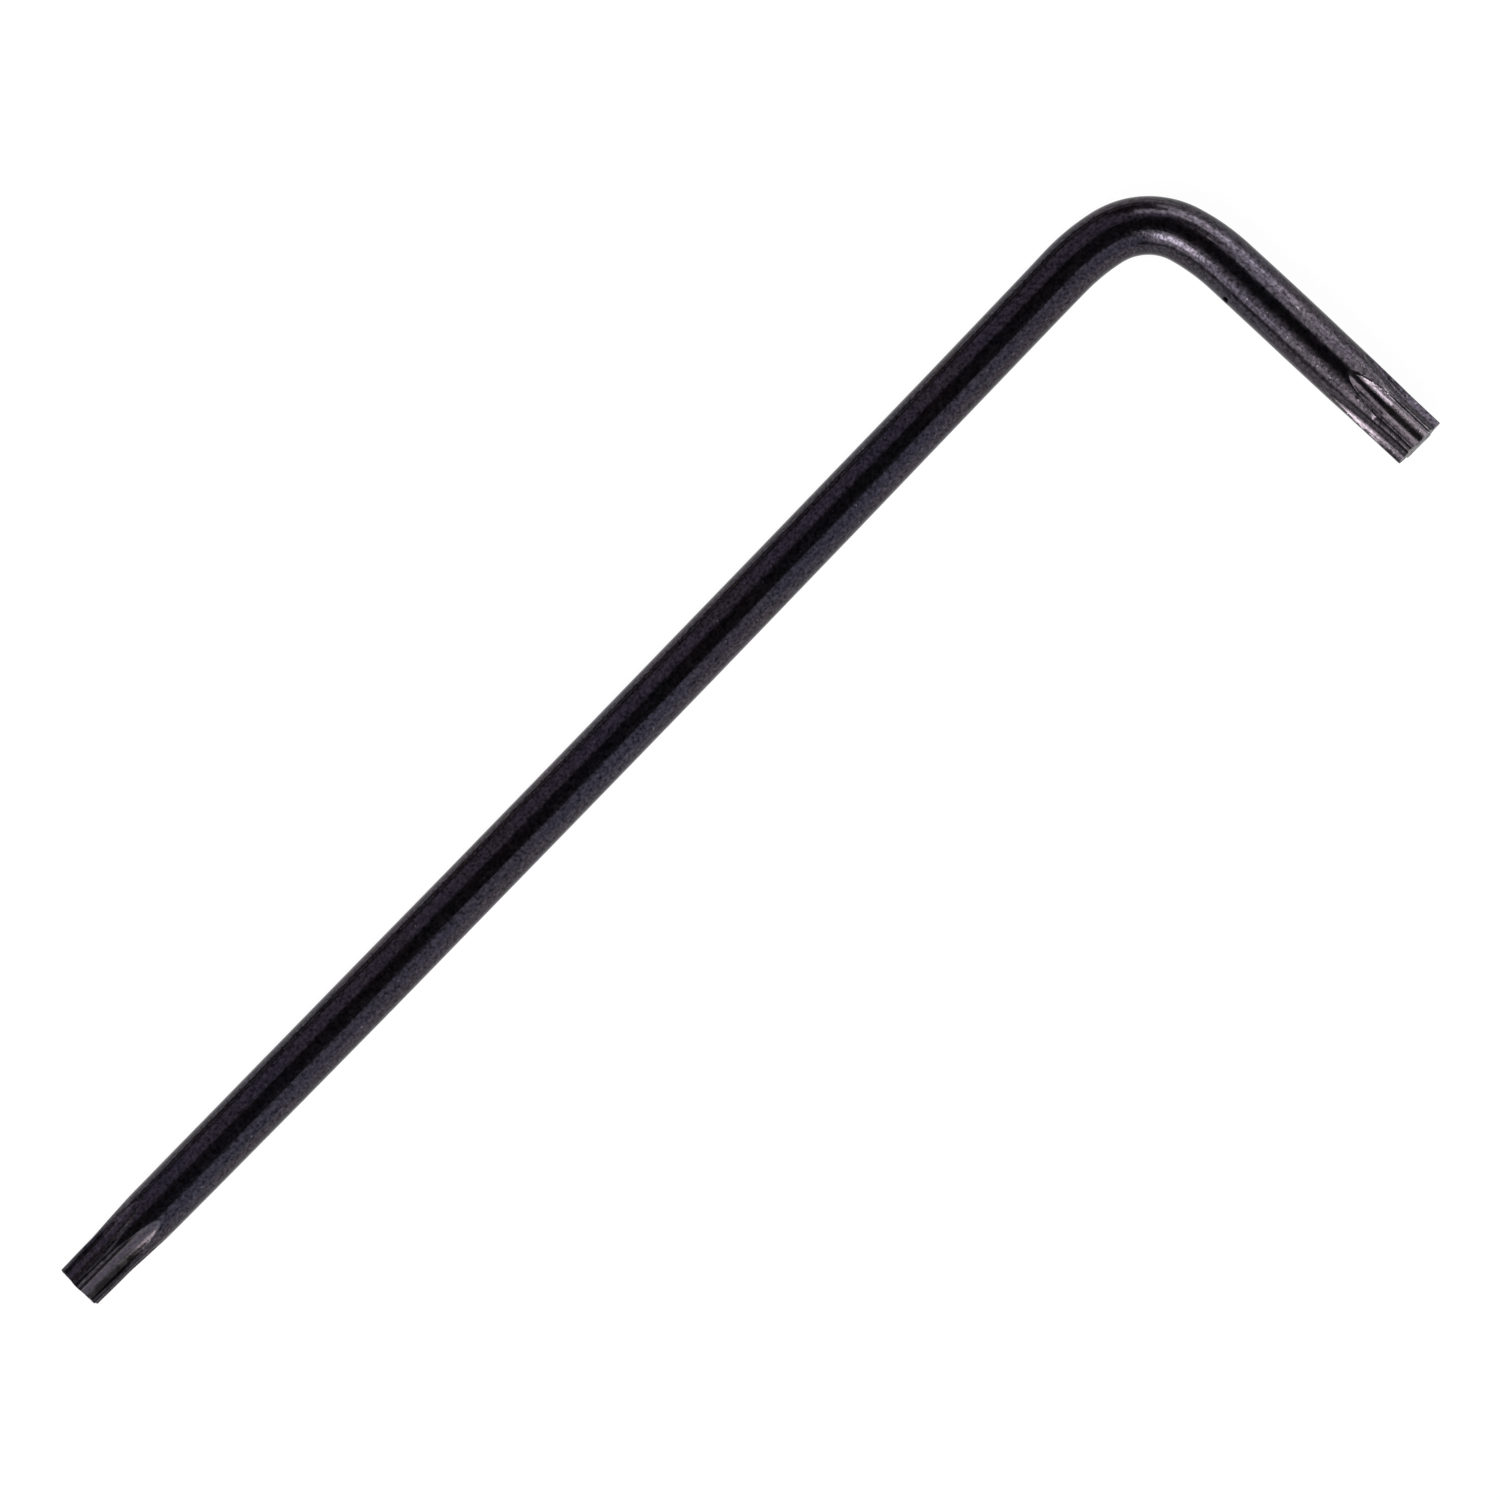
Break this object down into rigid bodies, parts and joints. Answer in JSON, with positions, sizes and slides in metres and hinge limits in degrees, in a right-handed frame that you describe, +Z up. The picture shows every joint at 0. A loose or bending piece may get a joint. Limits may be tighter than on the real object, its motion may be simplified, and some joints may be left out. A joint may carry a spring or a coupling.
{
  "type": "star-drive key",
  "caption": "L-shaped key bent from one round steel bar, with a lobed star point cut in each end, for turning star-recess screws.",
  "frame": {"origin": "middle of the bounding box, on the surface that the key lies on", "axes": "+X along the long arm from the bend to its tip, +Y on the short arm's side, +Z up from the surface"},
  "size_m": [0.1104, 0.0284, 0.0042],
  "materials": {
    "black_oxide_steel": "satin black oxide on drawn and bent alloy steel, rubbed paler on the points' edges"
  },
  "bodies": {
    "root": {"star_key": "black_oxide_steel"}
  },
  "joints": []
}
